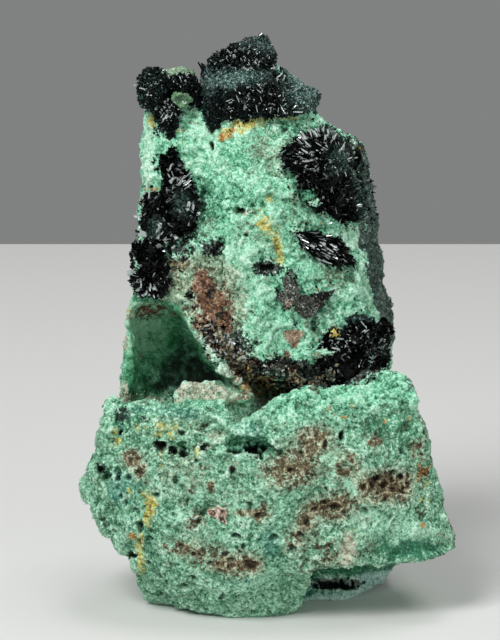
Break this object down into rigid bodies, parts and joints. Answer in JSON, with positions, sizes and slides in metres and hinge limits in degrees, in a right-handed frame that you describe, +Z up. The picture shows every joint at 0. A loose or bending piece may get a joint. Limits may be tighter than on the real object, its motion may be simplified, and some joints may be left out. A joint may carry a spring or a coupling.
{
  "type": "vandenbrandeite mineral specimen",
  "caption": "Green copper-ore rock with a stepped ledge and a niche, set with near-black bladed crystal clusters; stands on its flat base.",
  "frame": {"origin": "on the flat base that the specimen stands on, under the middle of the rock", "axes": "+Z up, the front with the ledge and the niche faces -Y, +X to the right in the front view"},
  "size_m": [0.0372, 0.0267, 0.0564],
  "materials": {
    "green_rock": "matt, finely granular copper-green rock with ochre and brown stains",
    "teal_black_crystal": "fine granular near-black crystals with a teal sheen and bright glints",
    "dark_crystal": "glossy near-black bladed crystals with silvery glints",
    "brown_crust": "rough grey-black and brown granular crust"
  },
  "bodies": {
    "root": {"matrix": "green_rock", "crown": "teal_black_crystal", "knob": "teal_black_crystal", "left_cluster": "dark_crystal", "right_fan": "dark_crystal", "right_spray": "dark_crystal", "low_cluster": "dark_crystal", "seam_crust": "brown_crust", "face_crystals": "brown_crust", "back_high_crust": "dark_crystal", "back_low_crust": "dark_crystal"}
  },
  "joints": []
}
